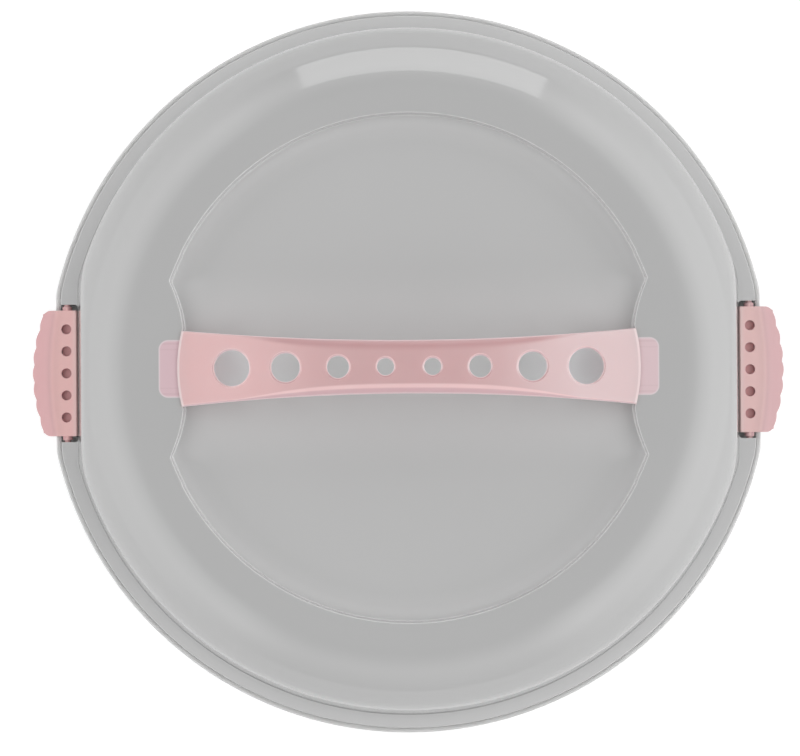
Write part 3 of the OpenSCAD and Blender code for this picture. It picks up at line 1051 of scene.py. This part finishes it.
lid = turned_piece("lid", lid_at, turn_angles(26.0, 0.25, 1.5))
print("lid skin has", len(lid.data.polygons), "faces")

# %% [markdown]
# ### Lugs, notches and slots
#
# At each latch the flange stops, and the ends beside the gap are solid lugs that hold the latch's
# trunnions. The lugs are joined on first. Then a notch with rounded inner corners is cut between
# them, and the trunnions' bores and the slots for the handle's tongues follow.

# %% Cut the lid's openings
hinge_x, hinge_z = 151.0, 21.0
notch_half = 30.4
lug_half = 35.7
bore_r, bore_half = 1.45, 34.7
slot_gap = 0.4
slot_half = tongue_half + slot_gap
slot_foot, slot_top = 129.8, lid_top - wall - 0.02

lugs, notches, bores, slots = [], [], [], []
for side in (-1, 1):
    for end in (-1, 1):
        x = side * (dome_flat_x - 0.8), side * (flange_flat_x - 0.4)
        y = end * (notch_half - 4.0), end * lug_half
        lugs.append(block("lug", x, y, lid_foot + 0.1, flange_top - 0.6))
    x = side * (dome_flat_x + 0.02), side * (flange_flat_x + 12.0)
    y = -notch_half, notch_half
    notches.append(block("notch", x, y, lid_foot - 4, flange_top + 4, facing(-side, 1.6)))
    bores.append(rod("bore", side * hinge_x, hinge_z, bore_r, bore_half))
    x = side * (land_x - 4.4), side * (land_x + 4.4)
    slots.append(block("slot", x, (-slot_half, slot_half), slot_foot, slot_top))
shape_with(lid, joined("lugs", lugs), "UNION")
for cutters in (notches, bores, slots):
    shape_with(lid, joined("cutters", cutters), "DIFFERENCE")
dress(lid, lid_plastic, "dome_lid", "lid")

# %% [markdown]
# ## Handle
#
# The handle is an arched strap with turned-down sides, waisted in the middle. Its top is flat
# between broad rounded edges that narrow to nothing at the ends. It is drawn as a grid: one chain
# of points over the top and one along the underside, at many stations from end to end. At the
# ends the underside drops to form the feet.

# %% Draw the handle's strap
handle_x = end_arc_x + end_arc_r
handle_mid_half = 10.85
handle_rise = 24.0
strap_t = 3.0
skirt_mid = 8.0
side_t = 2.2
foot_l = 6.0


def arc_radius(half, height):
    """Radius of an arc over a chord of this half length, with this height."""
    return (half * half + height * height) / (2 * height)


arch_r = arc_radius(handle_x, handle_rise)
skirt_r = arc_radius(handle_x, handle_rise - skirt_mid + strap_t)
waist_r = arc_radius(handle_x, handle_end_half - handle_mid_half)
CROWN_STEPS = 8
FLAT_STEPS = 8


def strap_top(x):
    return handle_top - sag(arch_r, x)


def crown(x):
    """Width and drop of the rounded edge beside the flat of the top."""
    fade = max(1.0 - (x / 74.0) ** 2, 0.0)
    ease = fade * fade * (3 - 2 * fade)
    return 0.9 + 4.9 * ease, 0.7 + 1.8 * ease


def strap_chains(x):
    """Points over the top and along the underside at one station, from the +Y side to the -Y side."""
    half = handle_mid_half + sag(waist_r, x)
    width, drop = crown(x)
    edge = []
    for k in range(CROWN_STEPS + 1):
        t = math.radians(6 + 84 * k / CROWN_STEPS)
        edge.append((half - width + width * math.cos(t), -drop + drop * math.sin(t)))
    inner = half - width
    flat = [(inner * (1 - 2 * k / FLAT_STEPS), 0.0) for k in range(1, FLAT_STEPS)]
    top = edge + flat + [(-y, d) for y, d in reversed(edge)]
    top = [(y, strap_top(x) + d) for y, d in top]
    in_foot = abs(x) > handle_x - foot_l
    foot = handle_foot if in_foot else handle_top - skirt_mid - sag(skirt_r, x)
    roof = handle_foot if in_foot else max(handle_top - strap_t - sag(arch_r - strap_t, x), foot)
    gap = half - side_t
    under = [(half, foot), (gap, foot), (gap - 0.1, roof - 1.0), (gap - 0.4, roof - 0.4), (gap - 1.1, roof)]
    if in_foot:
        under = [(y, foot) for y, _ in under]
    middle = len(top) - 2 * len(under)
    across = gap - 1.1
    under += [(across * (1 - 2 * (k + 1) / (middle + 1)), roof) for k in range(middle)]
    under += [(-y, z) for y, z in reversed(under[:5])]
    return top, under


def strap_piece():
    """The handle's strap as one closed grid."""
    shoulder = handle_x - foot_l
    count = 110
    stations = [shoulder * (2 * k / count - 1) for k in range(count + 1)]
    feet = [shoulder + 0.02 + (foot_l - 0.02) * k / 5 for k in range(6)]
    stations = [-x for x in reversed(feet)] + stations + feet
    points, faces = [], []
    for station in stations:
        top, under = strap_chains(station)
        for y, z in top + list(reversed(under)):
            end_x = handle_x + end_reach - sag(end_arc_r, min(abs(y), handle_end_half))
            points.append((station / handle_x * end_x, y, z))
    ring = len(points) // len(stations)
    for s in range(len(stations) - 1):
        a, b = s * ring, (s + 1) * ring
        faces += [(a + k, b + k, b + (k + 1) % ring, a + (k + 1) % ring) for k in range(ring)]
    half = ring // 2
    last = (len(stations) - 1) * ring
    for k in range(half - 1):
        faces.append((k, k + 1, ring - 2 - k, ring - 1 - k))
        faces.append((last + k + 1, last + k, last + ring - 1 - k, last + ring - 2 - k))
    return new_piece("handle", points, faces)


handle = strap_piece()
ease_edges(handle, 0.45, angle=50.0)
print("strap has", len(handle.data.polygons), "faces")

# %% [markdown]
# ### Holes and tongues
#
# Eight round holes get larger towards the ends. Each cutter flares out where it meets the arched
# top, and that leaves the thin rounded rim that catches the light. A tongue with rounded corners
# is joined to each foot and reaches in under the lid's skin.

# %% Pierce the handle and add its tongues
handle_holes = ((9.5, 6.8), (28.7, 8.8), (50.0, 11.6), (72.1, 14.5))  # place and width
rim_round = 0.9
tongue_top = lid_top - wall - slot_gap
tongue_t = 2.6
tongue_corner = 2.5


def flared_cutter(x, y, radius, foot, surface, flare, steps=48):
    """A round cutter that widens where it meets a surface, given as height by X."""
    rings = [(radius, None), (radius, -flare)]
    for k in range(1, 5):
        t = math.radians(20 + 70 * k / 4)
        rings.append((radius + flare * (1 - math.cos(t)), -flare * (1 - math.sin(t))))
    rings += [(radius + flare + 0.04, height) for height in (0.15, 4.0)]
    points = []
    for r, above in rings:
        for dx, dy in circle(r, steps):
            points.append((x + dx, y + dy, foot if above is None else surface(x + dx) + above))
    return new_piece("cutter", points, tube_faces(len(rings), steps))


cutters = [
    flared_cutter(side * x, 0.0, size / 2, handle_foot, strap_top, rim_round)
    for side in (-1, 1)
    for x, size in handle_holes
]
shape_with(handle, joined("hole_cutters", cutters), "DIFFERENCE")
for side in (-1, 1):
    x = side * (handle_x - foot_l + 1.0), side * tongue_x
    y = -tongue_half, tongue_half
    tongue = block("tongue", x, y, tongue_top - tongue_t, tongue_top, facing(side, tongue_corner))
    ease_edges(tongue, 0.3, angle=60.0, segments=2)
    shape_with(handle, tongue, "UNION")
dress(handle, handle_plastic, "handle_strap", "lid")

# %% [markdown]
# ## Latches
#
# A latch is a thin bent plate. Its inner edge is rounded about the hinge, its top bends along a
# curve that follows the rim, and the sloping grip ends in a bowed edge with seven shallow
# scallops. It is swept along its length with a section that changes from station to station. The
# hook and the barrel are joined on below, and five small wells are sunk in the top.

# %% Helpers for the latches
plate_under = 21.7
latch_half = 27.8
knuckle_r = 4.9
crease_in = 0.4
grip_slope = 1.07
grip_edge = 1.6
grip_bow_r = 69.0
scallop_pitch = 7.75
scallop_depth = 0.8
corner_r = 2.6
barrel_r, barrel_half = 2.2, 29.6
trunnion_r = 1.4
hook_in_r, hook_t = 9.36, 2.0
hook_end = math.radians(-68.0)
hook_half = 26.5


def crease_at(y):
    """The bend between plate and grip runs just inside the rim, along the same circle."""
    return rim_r - sag(rim_r, y) - crease_in


def grip_edge_at(y):
    """The grip's bowed and scalloped edge, with rounded corners at both ends."""
    bow = grip_x - sag(grip_bow_r, y)
    fade = min(max((latch_half - 1.5 - abs(y)) / 3.0, 0.0), 1.0)
    bow -= fade * scallop_depth * (1 - abs(math.cos(math.pi * y / scallop_pitch)))
    past = min(max(abs(y) - (latch_half - corner_r), 0.0), corner_r)
    return max(bow - sag(corner_r, past), crease_at(y) - 1.6)


def latch_section(y):
    """The latch's section at a distance from its middle, from the inner edge over the top and back."""
    crease = crease_at(y)
    edge = grip_edge_at(y)
    low = plate_top - max(edge - crease, 0.0) * grip_slope
    bend = min(crease, edge - 0.2)
    start = math.degrees(math.asin((plate_under - hinge_z) / knuckle_r))
    end = math.degrees(math.asin((plate_top - hinge_z) / knuckle_r))
    section = []
    for k in range(5):
        a = math.radians(180 - start - (end - start) * k / 4)
        section.append((hinge_x + knuckle_r * math.cos(a), hinge_z + knuckle_r * math.sin(a)))
    outer = rounded([
        Corner(section[-1][0], plate_top, run=4),
        Corner(bend, plate_top, 6.0, arc=8, run=4),
        Corner(edge, min(low, plate_top - 0.2)),
    ])
    section += [(x, z) for x, z, _, _ in outer[1:]]
    foot = min(low, plate_top - 0.2) - grip_edge
    section.append((edge, foot))
    section.append((edge - grip_edge * 0.9, foot))
    back = min(edge - grip_edge * 0.9 - (plate_under - foot) / grip_slope, bend - 0.6)
    section.append((back, plate_under))
    return section


def hook_section(y):
    """The hook, a band about the hinge that ends under the tray's edge."""
    high = math.radians(-11.0)
    inner = [(hook_in_r, high + (hook_end - high) * k / 14) for k in range(15)]
    outer = [(hook_in_r + hook_t, a) for _, a in reversed(inner)]
    return [(hinge_x + r * math.cos(a), hinge_z + r * math.sin(a)) for r, a in inner + outer]


print("helpers for latches ready")

# %% [markdown]
# The plate and grip get their rounded edges before the hook and barrel are joined on, so that each
# rounding meets clean faces. The wells' walls and floors get a darker pink, a painted shade for
# small deep wells, and keep a plastic of their own.

# %% Make both latches
well_x = 151.2
well_pitch = 9.75
well_d = 4.2
well_depth = 2.4
WELLS = range(-2, 3)
# Painted shade: a darker pink for the wells' walls and floors.
well_shade_pink = (0.66, 0.38, 0.385)
well_shade = plastic("well_shade_plastic", well_shade_pink, well_shade_pink, roughness=0.5, grain=0.2)


def latch_stations():
    """Stations along a latch, close together at the rounded ends."""
    inner = latch_half - corner_r
    middle = [inner * (2 * k / 96 - 1) for k in range(97)]
    ends = [inner + corner_r * math.sin(math.radians(90 * k / 9)) for k in range(1, 10)]
    return [-y for y in reversed(ends)] + middle + ends


def make_latch(name, side):
    """One latch, drawn for the right side and mirrored for the left."""
    latch = swept(name, latch_stations(), latch_section)
    ease_edges(latch, 0.4, angle=42.0)
    hook = swept("hook", [hook_half * k / 4 for k in range(-4, 5)], hook_section)
    ease_edges(hook, 0.35, angle=50.0, segments=2)
    barrel = rod("barrel", hinge_x, hinge_z, barrel_r, barrel_half)
    ease_edges(barrel, 0.4, angle=60.0, segments=2)
    trunnion = rod("trunnion", hinge_x, hinge_z, trunnion_r, trunnion_half)
    ease_edges(trunnion, 0.3, angle=60.0, segments=2)
    for part in (hook, barrel, trunnion):
        shape_with(latch, part, "UNION")
    well_floor = plate_top - well_depth
    wells = [
        flared_cutter(well_x, k * well_pitch, well_d / 2, well_floor, lambda x: plate_top, 0.25, steps=32)
        for k in WELLS
    ]
    shape_with(latch, joined("well_cutters", wells), "DIFFERENCE")
    if side < 0:
        latch.data.transform(Matrix.Scale(-1, 4, (1, 0, 0)))
        latch.data.flip_normals()
    dress(latch, latch_plastic, name, name)
    latch.data.materials.append(well_shade)
    for face in latch.data.polygons:
        x, y, z = (c / MM for c in face.center)
        near = min(math.hypot(abs(x) - well_x, y - k * well_pitch) for k in WELLS)
        if near < well_d / 2 + 0.05 and well_floor - 0.1 < z < plate_top - 0.2:
            face.material_index = 1


for name, side in (("latch_left", -1), ("latch_right", 1)):
    make_latch(name, side)

# %% [markdown]
# ## Finish
#
# The colours should come out about as written, so the view transform is Standard. The dressing
# may not change the size.

# %% Set the view and finish
bpy.context.scene.view_settings.view_transform = "Standard"
